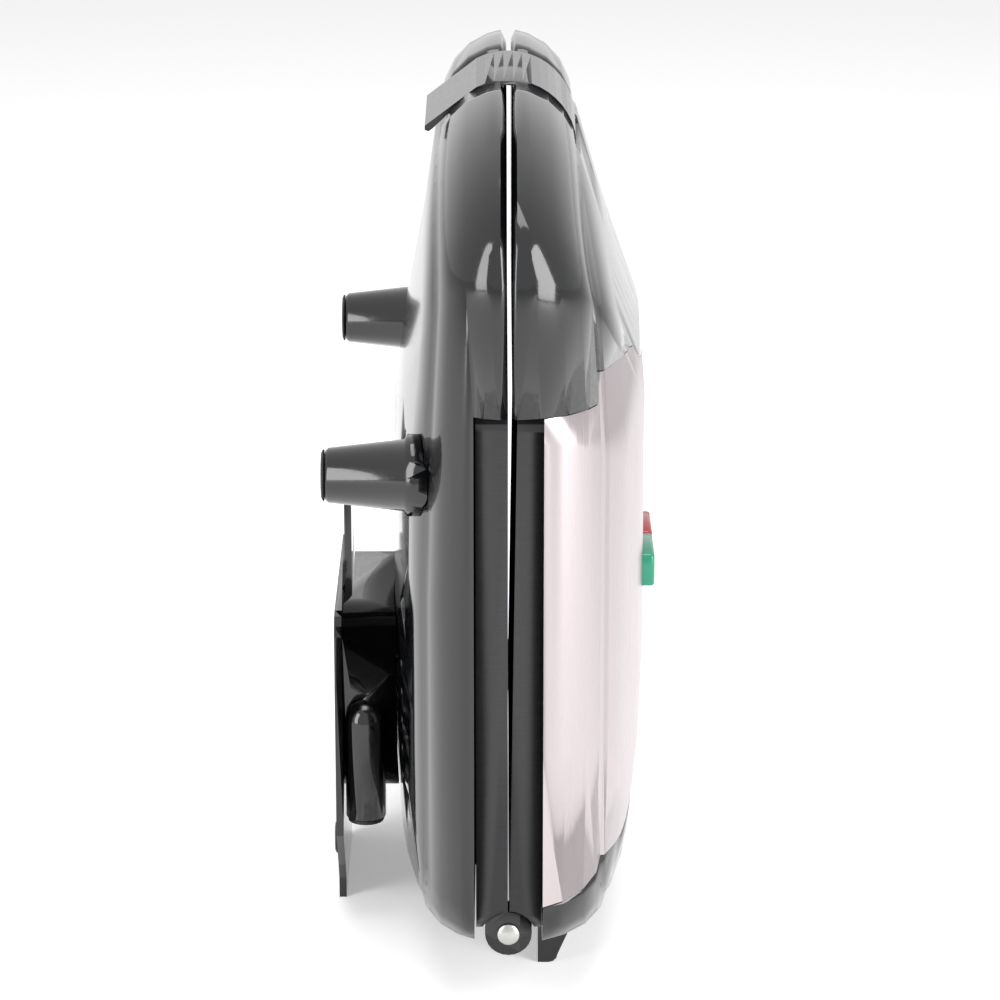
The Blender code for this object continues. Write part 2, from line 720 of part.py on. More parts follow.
def hinge_ears(plate, name, side, outer):
    """Two ears on the plate round the hinge axis, in a rear cut-out that leaves room for the other plate's ears."""
    inner = EAR_OUTER_Y - EAR_THICKNESS * 2 - EAR_GAP * 2
    for hand in (-1, 1):
        start, end = hand * outer, hand * (outer - EAR_THICKNESS)
        low, high = sorted((start, end))
        room_ends = ((0, hand * inner, HINGE_LEVEL), (0, hand * (PLATE_HALF_WIDTH + OVERRUN), HINGE_LEVEL))
        keep = EAR_RADIUS + EAR_NOTCH_CLEARANCE
        boolean(plate, rod(f"{name}_ear_room_{hand}", *room_ends, keep, hidden=True, sides=24))
        ends = ((0, low, HINGE_LEVEL), (0, high, HINGE_LEVEL))
        ear = rod(f"{name}_ear_{hand}", *ends, EAR_RADIUS, hidden=True, sides=24)
        column = ordered((side * PLATE_SEAM, low, HINGE_LEVEL), (side * EAR_RADIUS, high, HINGE_LEVEL + EAR_ROOT_HEIGHT))
        boolean(ear, block(f"{name}_ear_root_{hand}", *column, hidden=True), "UNION")
        boolean(plate, ear, "UNION")
        ends = ((0, low - EAR_GAP, HINGE_LEVEL), (0, high + EAR_GAP, HINGE_LEVEL))
        boolean(plate, rod(f"{name}_ear_bore_{hand}", *ends, PIN_RADIUS + CLEARANCE, hidden=True))
    return plate


def hinge_pin(name, hand):
    """A rivet through both ears of one side, headed on the outside."""
    inner = EAR_OUTER_Y - 2 * EAR_THICKNESS - EAR_GAP - CLEARANCE
    profile = [
        (0, EAR_OUTER_Y + CLEARANCE + PIN_HEAD_LENGTH),
        (PIN_HEAD_RADIUS * 0.8, EAR_OUTER_Y + CLEARANCE + PIN_HEAD_LENGTH),
        (PIN_HEAD_RADIUS, EAR_OUTER_Y + CLEARANCE + PIN_HEAD_LENGTH / 2),
        (PIN_HEAD_RADIUS, EAR_OUTER_Y + CLEARANCE),
        (PIN_RADIUS, EAR_OUTER_Y + CLEARANCE),
        (PIN_RADIUS, inner),
        (0, inner),
    ]
    return turned(name, profile, ZINC, (0, 0, HINGE_LEVEL), (0, hand, 0), sides=20)


def plate_screw(name, half, y, z, sunk):
    """A pan-head screw that holds a shell to a boss on the back of its plate."""
    seat = half.height(y, z) + CREASE_STEP - sunk
    profile = [
        (0, seat),
        (SCREW_HEAD_RADIUS * 0.75, seat),
        (SCREW_HEAD_RADIUS, seat - SCREW_HEAD_HEIGHT / 2),
        (SCREW_HEAD_RADIUS, seat - SCREW_HEAD_HEIGHT),
        (SCREW_RADIUS, seat - SCREW_HEAD_HEIGHT),
        (SCREW_RADIUS, seat - SCREW_LENGTH),
        (0, seat - SCREW_LENGTH),
    ]
    return turned(name, profile, ZINC, (0, y, z), (half.side, 0, 0), sides=10)


def screw_holes(shell, half, sunk, name):
    """Bosses inside the shell and counterbored holes through them for the plate screws."""
    for number, (y, z) in enumerate(boss_places()):
        seat = half.height(y, z) + CREASE_STEP - sunk - SCREW_HEAD_HEIGHT
        root = (half.under(y, z, SHELL_BOSS_ROOT), y, z)
        end = (half.under(y, z, SHELL_BOSS_DEPTH), y, z)
        boolean(shell, rod(f"{name}_boss_{number}", root, end, SHELL_BOSS_RADIUS, hidden=True), "UNION")
        out = (half.under(y, z, -OVERRUN * 2), y, z)
        at = (half.side * (seat - CLEARANCE), y, z)
        boolean(shell, rod(f"{name}_counterbore_{number}", at, out, SCREW_HEAD_RADIUS + CLEARANCE, hidden=True, sides=14))
        low = (half.under(y, z, SHELL_BOSS_DEPTH + OVERRUN), y, z)
        boolean(shell, rod(f"{name}_hole_{number}", low, out, SCREW_RADIUS + CLEARANCE, hidden=True, sides=12))


def boss_places():
    return [(y, z) for z in (BOSS_REAR_Z, BOSS_FRONT_Z) for y in (-BOSS_Y, BOSS_Y)]


def heating_element(name, side):
    """A sheathed tube element bent round the back of the pan, with its two ends near the hinge."""
    level = side * (PAN_DEPTH + CLEARANCE + ELEMENT_RADIUS)
    r = ELEMENT_BEND
    outline = [
        (ELEMENT_END_Y, ELEMENT_REAR),
        (ELEMENT_HALF_WIDTH - r, ELEMENT_REAR),
        *arc((ELEMENT_HALF_WIDTH - r, ELEMENT_REAR + r), r, -60, 0, 2),
        *arc((ELEMENT_HALF_WIDTH - r, ELEMENT_FRONT - r), r, 0, 90, 3),
    ]
    path = outline + [(-y, z) for y, z in reversed(outline)]
    return tube(name, [(level, y, z) for y, z in path], ELEMENT_RADIUS, SHEATH, resolution=1)


def heat_reflector(name, side):
    """A thin sheet tray over the element, with turned lips and holes for the bosses."""
    low_x = PAN_DEPTH + CLEARANCE + 2 * ELEMENT_RADIUS + REFLECTOR_GAP
    outer = rounded_box_outline(REFLECTOR_HALF_WIDTH, REFLECTOR_REAR, REFLECTOR_FRONT, PAN_CORNER, steps=2)
    t = REFLECTOR_THICKNESS
    inner = rounded_box_outline(
        REFLECTOR_HALF_WIDTH - t, REFLECTOR_REAR + t, REFLECTOR_FRONT - t, PAN_CORNER - t, steps=2
    )
    low, high = sorted((side * (low_x - REFLECTOR_LIP), side * (low_x + t)))
    tray = prism(name, outer, low, high, look=SHEET)
    low, high = sorted((side * (low_x - REFLECTOR_LIP - OVERRUN), side * low_x))
    boolean(tray, prism(name + "_inside", inner, low, high, hidden=True))
    for number, (y, z) in enumerate(boss_places()):
        start = (side * (low_x - OVERRUN), y, z)
        end = (side * (low_x + OVERRUN * 2), y, z)
        boolean(tray, rod(f"{name}_hole_{number}", start, end, BOSS_RADIUS + CLEARANCE * 2, hidden=True, sides=16))
    return tray


def front_leg(name, hand):
    """A tapered hollow leg with a collar, and a spigot that plugs into the base."""
    y = hand * LEG_Y
    profile = [
        (0, LEG_REACH),
        (LEG_TIP_RADIUS - TIP_CROWN, LEG_REACH),
        (LEG_TIP_RADIUS, LEG_REACH - TIP_CROWN),
        (LEG_ROOT_RADIUS, LEG_COLLAR_LEVEL + LEG_COLLAR_HEIGHT),
        (LEG_COLLAR_RADIUS, LEG_COLLAR_LEVEL + LEG_COLLAR_HEIGHT / 2),
        (LEG_COLLAR_RADIUS, LEG_COLLAR_LEVEL - LEG_COLLAR_HEIGHT),
        (LEG_COLLAR_RADIUS, LEG_ROOT_LEVEL),
        (0, LEG_ROOT_LEVEL),
    ]
    leg = turned(name, profile, BLACK, (0, y, LEG_Z), (-1, 0, 0))
    leg = solid_copy(leg, name, BLACK)
    boolean(leg, half_solid(BASE, -CLEARANCE, name + "_seat"))
    bottom = -(LEG_REACH - TIP_STEM_LENGTH - CLEARANCE)
    ends = ((-LEG_REACH - OVERRUN, y, LEG_Z), (bottom, y, LEG_Z))
    boolean(leg, rod(name + "_bore", *ends, TIP_STEM_RADIUS + CLEARANCE, hidden=True))
    return leg


def leg_tip(name, hand):
    """A rubber button pressed into the end of a leg."""
    stem = LEG_REACH - TIP_STEM_LENGTH
    top = LEG_REACH + CLEARANCE
    profile = [
        (0, top + TIP_CROWN),
        (TIP_RADIUS - TIP_CROWN, top + TIP_CROWN),
        (TIP_RADIUS, top + TIP_CROWN / 2),
        (TIP_RADIUS, top),
        (TIP_STEM_RADIUS, top),
        (TIP_STEM_RADIUS, stem),
        (0, stem),
    ]
    return turned(name, profile, RUBBER, (0, hand * LEG_Y, LEG_Z), (-1, 0, 0), sides=24)


def cord_wrap():
    """The spool under the base: a core, a flange that also stands on the table, and a cord outlet hood."""
    inner = BASE_CROWN - SHELL_WALL * 2
    flange_in = WRAP_OUTER - WRAP_FLANGE_THICKNESS
    core = rounded_box_outline(WRAP_HALF_WIDTH, WRAP_CORE_REAR, WRAP_CORE_FRONT, WRAP_CORE_ROUND)
    wrap = prism("cord_wrap", core, -flange_in - WRAP_FLANGE_THICKNESS / 2, -inner, look=BLACK)
    plate = prism("wrap_flange", flange_outline(), -WRAP_OUTER, -flange_in, hidden=True)
    boolean(wrap, plate, "UNION")
    tongue = rounded_box_outline(
        WRAP_TONGUE_HALF_WIDTH, WRAP_CORE_FRONT - WRAP_FLANGE_CORNER, WRAP_TONGUE_FRONT, WRAP_FLANGE_CORNER
    )
    step = WRAP_TONGUE_STEP
    boolean(wrap, prism("wrap_tongue", tongue, -WRAP_OUTER + step, -flange_in + step, hidden=True), "UNION")
    hood_y = -WRAP_HALF_WIDTH - HOOD_Y_REACH / 3
    low = (-HOOD_LEVEL, hood_y, HOOD_BOTTOM)
    high = (-HOOD_LEVEL, hood_y, HOOD_TOP - HOOD_RADIUS)
    boolean(wrap, rod("hood_body", low, high, HOOD_RADIUS, hidden=True), "UNION")
    dome = [(0, HOOD_RADIUS), *arc((0, 0), HOOD_RADIUS, 75, 0, 4)[0:], (0, -HOOD_RADIUS / 4)]
    dome = [(HOOD_RADIUS * math.sin(t), HOOD_RADIUS * math.cos(t)) for t in (0, 0.4, 0.8, 1.2, math.pi / 2)]
    dome = [(0, HOOD_RADIUS), *dome[1:], (HOOD_RADIUS * 0.98, -HOOD_RADIUS / 4), (0, -HOOD_RADIUS / 4)]
    boolean(wrap, turned("hood_dome", dome, None, high, (0, 0, 1), sides=20, hidden=True), "UNION")
    bore_low = (-HOOD_LEVEL, hood_y, HOOD_BOTTOM - OVERRUN)
    bore_high = (-HOOD_LEVEL, hood_y, HOOD_BOTTOM + GLAND_LENGTH * 2)
    boolean(wrap, rod("hood_bore", bore_low, bore_high, GLAND_RADIUS + CLEARANCE, hidden=True))
    boolean(wrap, half_solid(BASE, -CLEARANCE, "wrap_seat"))
    smooth(wrap)
    start = HOOD_BOTTOM - CLEARANCE
    profile = [
        (GLAND_BORE, start + GLAND_LENGTH),
        (GLAND_RADIUS, start + GLAND_LENGTH),
        (GLAND_RADIUS, start),
        (GLAND_RADIUS + GLAND_FLANGE, start),
        (GLAND_RADIUS + GLAND_FLANGE * 0.8, start - GLAND_FLANGE),
        (GLAND_BORE, start - GLAND_FLANGE),
        (GLAND_BORE, start + GLAND_LENGTH),
    ]
    turned("cord_gland", profile, RUBBER, (-HOOD_LEVEL, hood_y, 0), (0, 0, 1), sides=20)
    for hand, word in ((-1, "near"), (1, "far")):
        face = WRAP_OUTER + CLEARANCE
        profile = [
            (0, face + PAD_HEIGHT),
            (PAD_RADIUS - PAD_HEIGHT, face + PAD_HEIGHT),
            (PAD_RADIUS, face + PAD_HEIGHT / 2),
            (PAD_RADIUS, face),
            (0, face),
        ]
        turned(f"wrap_pad_{word}", profile, RUBBER, (0, hand * PAD_Y, PAD_Z), (-1, 0, 0), sides=20)
    return wrap


def flange_outline():
    """The flange in Y and Z: narrow where it stands, widening to a rounded shoulder."""
    foot = WRAP_FOOT_HALF_WIDTH
    half = WRAP_HALF_WIDTH + WRAP_FLANGE_OVERHANG
    right = [
        (foot, 0),
        (foot, WRAP_FLANGE_CORNER),
        (foot + (half - foot) / 4, WRAP_FLANGE_CORNER * 2),
        (half, WRAP_SHOULDER_Z),
        *arc((half - WRAP_FLANGE_CORNER, WRAP_FLANGE_FRONT - WRAP_FLANGE_CORNER), WRAP_FLANGE_CORNER, 0, 90, 3),
    ]
    return right + [(-y, z) for y, z in reversed(right)]


def nose_centre():
    return (0, PLAN_FRONT - HANDLE_HALF_THICKNESS)


def latch_parts(lid, base):
    """The clip over the handle's nose, its pin in the lid, and the recess both shells keep for it."""
    centre = nose_centre()
    outer = HANDLE_HALF_THICKNESS + LATCH_PROUD
    inner = outer - LATCH_THICKNESS
    room = LATCH_HALF_WIDTH + LATCH_GAP
    floor = inner - LATCH_GAP
    top = PLAN_FRONT + OVERRUN
    for shell, side in ((lid, 1), (base, -1)):
        name = "lid" if side > 0 else "base"
        low_z = LATCH_RECESS_LOW if side > 0 else LATCH_RECESS_LOW_BASE
        low, high = ordered((-side * OVERRUN, -room, low_z), (side * HANDLE_HALF_THICKNESS * 2, room, top + OVERRUN))
        recess = block(name + "_latch_recess", low, high, hidden=True)
        ends = ((0, -room - OVERRUN, centre[1]), (0, room + OVERRUN, centre[1]))
        boolean(recess, rod(name + "_nose_core", *ends, floor, hidden=True, sides=48))
        boolean(shell, recess)
    pivot = (LATCH_PIVOT_X, LATCH_PIVOT_Z)
    pocket_radius = LATCH_KNUCKLE_RADIUS + LATCH_GAP
    ends = ((pivot[0], -room, pivot[1]), (pivot[0], room, pivot[1]))
    boolean(lid, rod("latch_knuckle_room", *ends, pocket_radius, hidden=True, sides=24))
    reach = room + LATCH_PIN_OVERHANG
    ends = ((pivot[0], -reach, pivot[1]), (pivot[0], reach, pivot[1]))
    boolean(lid, rod("latch_pin_bore", *ends, LATCH_PIN_RADIUS + CLEARANCE, hidden=True, sides=16))
    start = 6
    tab_leaves = 118
    hook_end = 158
    outline = arc(centre, outer, start, tab_leaves, 14)
    tip = (-HANDLE_HALF_THICKNESS - LATCH_TAB_REACH, LATCH_TAB_Z)
    outline += [
        (tip[0] - LATCH_THICKNESS / 3, tip[1] + LATCH_THICKNESS),
        (tip[0] - LATCH_THICKNESS / 3, tip[1] + LATCH_THICKNESS / 4),
        (tip[0] + LATCH_THICKNESS / 3, tip[1]),
        (tip[0] + LATCH_THICKNESS, tip[1] + LATCH_THICKNESS / 2),
    ]
    outline += arc(centre, outer, hook_end - 8, hook_end, 2)
    outline += arc(centre, inner, hook_end, start, 14)
    latch = prism("latch_clip", outline, -LATCH_HALF_WIDTH, LATCH_HALF_WIDTH, "Y", look=BLACK)
    ends = ((pivot[0], -LATCH_HALF_WIDTH, pivot[1]), (pivot[0], LATCH_HALF_WIDTH, pivot[1]))
    boolean(latch, rod("latch_knuckle", *ends, LATCH_KNUCKLE_RADIUS, hidden=True, sides=24), "UNION")
    ends = ((pivot[0], -LATCH_HALF_WIDTH * 2, pivot[1]), (pivot[0], LATCH_HALF_WIDTH * 2, pivot[1]))
    boolean(latch, rod("latch_clip_bore", *ends, LATCH_PIN_RADIUS + CLEARANCE, hidden=True, sides=16))
    smooth(latch)
    reach -= CLEARANCE
    ends = ((pivot[0], -reach, pivot[1]), (pivot[0], reach, pivot[1]))
    rod("latch_pin", *ends, LATCH_PIN_RADIUS, look=ZINC, sides=16)


def lamps(lid, skin):
    """Two lenses in one window of the lid, and two small lamps in a holder behind them."""
    low_z, high_z = LENS_Z - LENS_WIDTH / 2, LENS_Z + LENS_WIDTH / 2
    top = LID.height(0, LENS_Z) + CREASE_STEP
    inside = top - SHELL_WALL
    window = (LENS_PITCH + LENS_LENGTH) / 2 + CLEARANCE
    low = (inside - LENS_SKIRT * 2, -window, low_z - CLEARANCE)
    high = (top + OVERRUN, window, high_z + CLEARANCE)
    opening = block("lens_window", low, high, hidden=True)
    boolean(lid, opening)
    boolean(skin, opening)
    low_x = inside - SHELL_WALL / 2 - LENS_SKIRT / 2
    for hand, word, look in ((-1, "near", GREEN), (1, "far", RED)):
        middle = hand * LENS_PITCH / 2
        low = (low_x, middle - LENS_LENGTH / 2, low_z)
        high = (top + LENS_PROUD, middle + LENS_LENGTH / 2, high_z)
        lens = block(f"lens_{word}", low, high, look=look)
        bevel(lens, LENS_ROUND)
        hollow_low = (low_x - OVERRUN, low[1] + HOLDER_WALL, low_z + HOLDER_WALL)
        hollow_high = (top + LENS_PROUD - HOLDER_WALL, high[1] - HOLDER_WALL, high_z - HOLDER_WALL)
        boolean(lens, block(f"lens_{word}_inside", hollow_low, hollow_high, hidden=True))
        level = low_x - LAMP_RADIUS - CLEARANCE
        half = LAMP_LENGTH / 2
        profile = [(LAMP_RADIUS * math.sin(t), half - LAMP_RADIUS * (1 - math.cos(t))) for t in (0.5, 1.0, math.pi / 2)]
        profile = [(0, half), *profile, (LAMP_RADIUS, -half), (0, -half)]
        turned(f"lamp_{word}", profile, GLASS, (level, middle, LENS_Z), (0, 1, 0), sides=14)
    wall = HOLDER_WALL
    floor_x = low_x - LAMP_RADIUS * 2 - CLEARANCE * 2 - wall
    low = (floor_x, -window, low_z + wall / 2)
    high = (low_x - CLEARANCE, window, high_z - wall / 2)
    holder = block("lamp_holder", low, high, look=CERAMIC)
    low = (floor_x + wall, -window + wall, low[2] + wall)
    high = (low_x + OVERRUN, window - wall, high[2] - wall)
    boolean(holder, block("lamp_holder_inside", low, high, hidden=True))


def electrics():
    """Thermostat, thermal fuse, terminal block and the leads to the lower element."""
    level = PAN_DEPTH + CLEARANCE
    profile = [
        (0, level + THERMOSTAT_HEIGHT),
        (THERMOSTAT_RADIUS * 0.7, level + THERMOSTAT_HEIGHT),
        (THERMOSTAT_RADIUS * 0.75, level + THERMOSTAT_HEIGHT * 0.6),
        (THERMOSTAT_RADIUS, level + THERMOSTAT_HEIGHT * 0.5),
        (THERMOSTAT_RADIUS, level),
        (0, level),
    ]
    turned("thermostat", profile, CERAMIC, (0, THERMOSTAT_Y, THERMOSTAT_Z), (1, 0, 0), sides=20)
    at = -(PAN_DEPTH + CLEARANCE + FUSE_RADIUS)
    half = FUSE_LENGTH / 2
    z = THERMOSTAT_Z
    rod("thermal_fuse", (at, -half, z), (at, half, z), FUSE_RADIUS, look=ZINC, sides=14)
    high = -(PAN_DEPTH + 2 * CLEARANCE + 2 * ELEMENT_RADIUS + REFLECTOR_GAP + REFLECTOR_THICKNESS)
    low = (high - BLOCK_HEIGHT, -BLOCK_LENGTH / 2, BLOCK_Z - BLOCK_WIDTH / 2)
    terminal = block("terminal_block", low, (high, BLOCK_LENGTH / 2, BLOCK_Z + BLOCK_WIDTH / 2), look=CERAMIC)
    bevel(terminal, CLEARANCE * 2, 1)
    for number, share in enumerate((-1, 0, 1)):
        y = share * BLOCK_LENGTH / 3
        start = (low[0] - OVERRUN, y, BLOCK_Z)
        end = (low[0] + BLOCK_HEIGHT / 2, y, BLOCK_Z)
        boolean(terminal, rod(f"terminal_well_{number}", start, end, LEAD_RADIUS * 2, hidden=True, sides=12))
    element = -(PAN_DEPTH + CLEARANCE + ELEMENT_RADIUS)
    beside = -(PAN_DEPTH + (ELEMENT_RADIUS * 2 + REFLECTOR_GAP - REFLECTOR_LIP) / 2)
    entry = (low[0] + high) / 2
    edge = REFLECTOR_REAR - LEAD_RADIUS - CLEARANCE * 3
    for hand, word in ((-1, "near"), (1, "far")):
        path = [
            (element, hand * (ELEMENT_END_Y - CLEARANCE), ELEMENT_REAR),
            (element, hand * ELEMENT_END_Y * 0.85, ELEMENT_REAR - LEAD_RADIUS),
            (beside, hand * ELEMENT_END_Y * 0.75, (ELEMENT_REAR + edge) / 2),
            (beside, hand * ELEMENT_END_Y * 0.72, edge),
            ((beside + entry) / 2, hand * ELEMENT_END_Y * 0.62, edge - LEAD_RADIUS * 2),
            (entry, hand * BLOCK_LENGTH / 3, edge),
            (entry, hand * BLOCK_LENGTH / 3, low[2] - CLEARANCE),
        ]
        tube(f"element_lead_{word}", path, LEAD_RADIUS, FIBRE, resolution=1)


def vents(base):
    """Two rows of slots in the base's underside."""
    for hand in (-1, 1):
        for number in range(VENT_COUNT):
            z = VENT_REAR_Z + VENT_PITCH * number
            y = hand * VENT_Y
            x = BASE.under(y, z, 0)
            low = (x - SHELL_WALL * 2, y - VENT_LENGTH / 2, z - VENT_WIDTH / 2)
            high = (x + SHELL_WALL * 2, y + VENT_LENGTH / 2, z + VENT_WIDTH / 2)
            boolean(base, block(f"vent_{hand}_{number}", low, high, hidden=True))


def build():
    lid, skin = lid_shells()
    stand_foot(lid)
    screw_holes(lid, LID, SKIN_THICKNESS + CLEARANCE * 2, "lid")
    base = housing("base_housing", BASE)
    screw_holes(base, BASE, SCREW_RECESS, "base")
    lower = cooking_plate("lower_cooking_plate", -1)
    upper = cooking_plate("upper_cooking_plate", 1)
    hinge_ears(lower, "lower", -1, EAR_OUTER_Y)
    hinge_ears(upper, "upper", 1, EAR_OUTER_Y - EAR_THICKNESS - EAR_GAP)
    for hand, word in ((-1, "near"), (1, "far")):
        hinge_pin(f"hinge_pin_{word}", hand)
        front_leg(f"front_leg_{word}", hand)
        leg_tip(f"leg_tip_{word}", hand)
    for number, (y, z) in enumerate(boss_places(), 1):
        plate_screw(f"lid_screw_{number}", LID, y, z, SKIN_THICKNESS + CLEARANCE * 2)
        plate_screw(f"base_screw_{number}", BASE, y, z, SCREW_RECESS)
    heating_element("lower_heating_element", -1)
    heating_element("upper_heating_element", 1)
    heat_reflector("lower_heat_reflector", -1)
    heat_reflector("upper_heat_reflector", 1)
    vents(base)
    cord_wrap()
    latch_parts(lid, base)
    lamps(lid, skin)
    electrics()
    smooth(lid)
    smooth(skin)
    smooth(base)
    underside = WRAP_OUTER + CLEARANCE + PAD_HEIGHT
    top = LID_CROWN + CREASE_STEP + LENS_PROUD
    for obj in bpy.data.objects:
        obj.location.x += (underside - top) / 2


build()
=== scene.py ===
# %% [markdown]
# # A sandwich maker, stored upright
#
# The model of its parts comes packed, as a fixed frame. This file gives every part its finish,
# and shows a smoothly shaded copy of each. All sizes are in metres, and +Z is up.

# %% Load the frame
import json
import math

import bmesh
import bpy
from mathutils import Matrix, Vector


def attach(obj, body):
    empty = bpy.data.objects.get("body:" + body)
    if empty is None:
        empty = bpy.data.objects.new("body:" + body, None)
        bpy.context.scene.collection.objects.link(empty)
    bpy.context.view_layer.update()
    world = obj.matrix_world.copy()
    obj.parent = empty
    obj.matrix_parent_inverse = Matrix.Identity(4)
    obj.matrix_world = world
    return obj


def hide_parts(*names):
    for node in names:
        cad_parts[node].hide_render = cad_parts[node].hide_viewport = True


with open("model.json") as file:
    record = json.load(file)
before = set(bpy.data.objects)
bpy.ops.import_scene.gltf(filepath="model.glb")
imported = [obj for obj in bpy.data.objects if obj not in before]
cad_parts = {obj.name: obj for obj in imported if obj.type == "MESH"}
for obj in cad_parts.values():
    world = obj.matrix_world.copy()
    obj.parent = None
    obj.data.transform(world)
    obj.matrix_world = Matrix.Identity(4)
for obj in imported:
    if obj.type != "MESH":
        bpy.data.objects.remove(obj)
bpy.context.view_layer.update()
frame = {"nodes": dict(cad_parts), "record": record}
MM = 0.001
print("parts in the frame:", len(frame["nodes"]))

# %% [markdown]
# ## Colours and nodes
#
# A colour picked on a screen is written as an sRGB hex value. The renderer wants linear light,
# so one function turns the one into the other. Another adds a node with its settings and links,
# and every material below is a short list of calls to it.


# %% Two helpers for every material
def linear(hex_colour):
    """sRGB hex to linear RGB: a straight part near black, and a power of 2.4 above it."""
    channels = [int(hex_colour[i : i + 2], 16) / 255 for i in (1, 3, 5)]
    return [c / 12.92 if c <= 0.04045 else ((c + 0.055) / 1.055) ** 2.4 for c in channels] + [1.0]


def add_node(tree, kind, links=(), **settings):
    """Adds a node, sets its properties and sockets, and links its inputs.

    A setting is a socket where the node has one of that name, written with _ for a space, and
    otherwise a property. A link is (input name or number, output socket)."""
    node = tree.nodes.new(kind)
    for name, value in settings.items():
        socket = node.inputs.get(name.replace("_", " "))
        if socket is not None and not hasattr(node, name):
            socket.default_value = value
        else:
            setattr(node, name, value)
    for target, source in links:
        tree.links.new(source, node.inputs[target])
    return node


def new_material(name, colour, roughness, metallic=0.0, **sockets):
    """A material with a Principled shader whose constants stand on its own sockets."""
    made = bpy.data.materials.new(name)
    made.use_nodes = True
    shader = made.node_tree.nodes["Principled BSDF"]
    shader.inputs["Base Color"].default_value = linear(colour)
    shader.inputs["Roughness"].default_value = roughness
    shader.inputs["Metallic"].default_value = metallic
    for socket, value in sockets.items():
        shader.inputs[socket.replace("_", " ")].default_value = value
    return made, made.node_tree, shader


# %% [markdown]
# ## Gloss ABS, injection moulded
#
# The housings, legs, clip and cord wrap are black ABS from a polished mould. The surface is
# almost a mirror, but a moulded wall is never quite flat: it sinks a little where it cools last.
# A very low, wide bump gives that wobble, and a fine change of gloss breaks the highlight's edge.


# %% Gloss black ABS
SINK_SIZE = 30 * MM
GRAIN_SIZE = 1.2 * MM


def moulded_abs(name, colour="#0b0c0f", roughness=0.1, wobble=0.05):
    lacquer = dict(IOR=1.53, Coat_Weight=0.25, Coat_Roughness=0.04)
    made, tree, shader = new_material(name, colour, roughness, **lacquer)
    place = add_node(tree, "ShaderNodeTexCoord")
    where = [("Vector", place.outputs["Object"])]
    sink = add_node(tree, "ShaderNodeTexNoise", where, Scale=1 / SINK_SIZE, Detail=1.0)
    grain = add_node(tree, "ShaderNodeTexNoise", where, Scale=1 / GRAIN_SIZE, Detail=2.0)
    smear = add_node(
        tree,
        "ShaderNodeMapRange",
        [("Value", grain.outputs["Fac"])],
        From_Min=0.3,
        From_Max=0.7,
        To_Min=roughness * 0.8,
        To_Max=roughness * 1.4,
    )
    tree.links.new(smear.outputs["Result"], shader.inputs["Roughness"])
    height = [("Height", sink.outputs["Fac"])]
    low = add_node(tree, "ShaderNodeBump", height, Strength=wobble, Distance=1 * MM)
    tree.links.new(low.outputs["Normal"], shader.inputs["Normal"])
    return made


black_abs = moulded_abs("gloss_black_abs")
clip_abs = moulded_abs("clip_gloss_abs", "#15161a", 0.16)
print("made:", black_abs.name, clip_abs.name)

# %% [markdown]
# ## Brushed stainless steel
#
# The lid's skin is thin stainless sheet with a satin finish. The belt that brushed it ran along
# the sheet's length, so each scratch is a few millimetres long and a hundredth wide. Scratches
# that fine can't show, so they are drawn coarser here, and anisotropic gloss does the rest.


# %% Satin stainless steel
SCRATCH_WIDTH = 0.35 * MM
SCRATCH_LENGTH = 25 * MM


def brushed_steel(name, colour="#b9b0b2", roughness=0.3):
    made, tree, shader = new_material(name, colour, roughness, 1.0, Anisotropic=0.4)
    place = add_node(tree, "ShaderNodeTexCoord")
    along = add_node(
        tree,
        "ShaderNodeMapping",
        [("Vector", place.outputs["Object"])],
        Scale=(1 / SCRATCH_WIDTH, 1 / SCRATCH_WIDTH, 1 / SCRATCH_LENGTH),
    )
    where = [("Vector", along.outputs["Vector"])]
    streaks = add_node(tree, "ShaderNodeTexNoise", where, Scale=1.0, Detail=3.0)
    gloss = add_node(
        tree,
        "ShaderNodeMapRange",
        [("Value", streaks.outputs["Fac"])],
        From_Min=0.3,
        From_Max=0.7,
        To_Min=roughness - 0.05,
        To_Max=roughness + 0.07,
    )
    tree.links.new(gloss.outputs["Result"], shader.inputs["Roughness"])
    height = [("Height", streaks.outputs["Fac"])]
    scratch = add_node(tree, "ShaderNodeBump", height, Strength=0.06, Distance=0.1 * MM)
    tree.links.new(scratch.outputs["Normal"], shader.inputs["Normal"])
    return made


skin_steel = brushed_steel("satin_stainless_steel")

# %% [markdown]
# ## Coated cast aluminium
#
# The cooking plates are die-cast and sprayed with a black non-stick coat. Their rims are skimmed
# on a machine first, which leaves fine parallel lines along the rim's face.


# %% Non-stick coat over machined castings
TOOL_LINE_PITCH = 0.45 * MM
TOOL_LINE_LENGTH = 9 * MM


def nonstick_coat(name, colour="#1d1d1f", roughness=0.42):
    made, tree, shader = new_material(name, colour, roughness, 0.0, IOR=1.5)
    place = add_node(tree, "ShaderNodeTexCoord")
    across = add_node(
        tree,
        "ShaderNodeMapping",
        [("Vector", place.outputs["Object"])],
        Scale=(1 / TOOL_LINE_LENGTH, 1 / TOOL_LINE_LENGTH, 1 / TOOL_LINE_PITCH),
    )
    where = [("Vector", across.outputs["Vector"])]
    lines = add_node(tree, "ShaderNodeTexNoise", where, Scale=1.0, Detail=3.0)
    tint = add_node(
        tree,
        "ShaderNodeMixRGB",
        [("Fac", lines.outputs["Fac"])],
        Color1=linear("#141416"),
        Color2=linear("#2b2b2d"),
    )
    tree.links.new(tint.outputs["Color"], shader.inputs["Base Color"])
    height = [("Height", lines.outputs["Fac"])]
    groove = add_node(tree, "ShaderNodeBump", height, Strength=0.25, Distance=0.1 * MM)
    tree.links.new(groove.outputs["Normal"], shader.inputs["Normal"])
    return made


coat = nonstick_coat("nonstick_coated_casting")

# %% [markdown]
# ## Small finishes
#
# Rubber, plated steel, ceramic, glass and the two lamp caps are each a short variation on the
# same idea: a typical value for the material, and one pattern at its real scale.


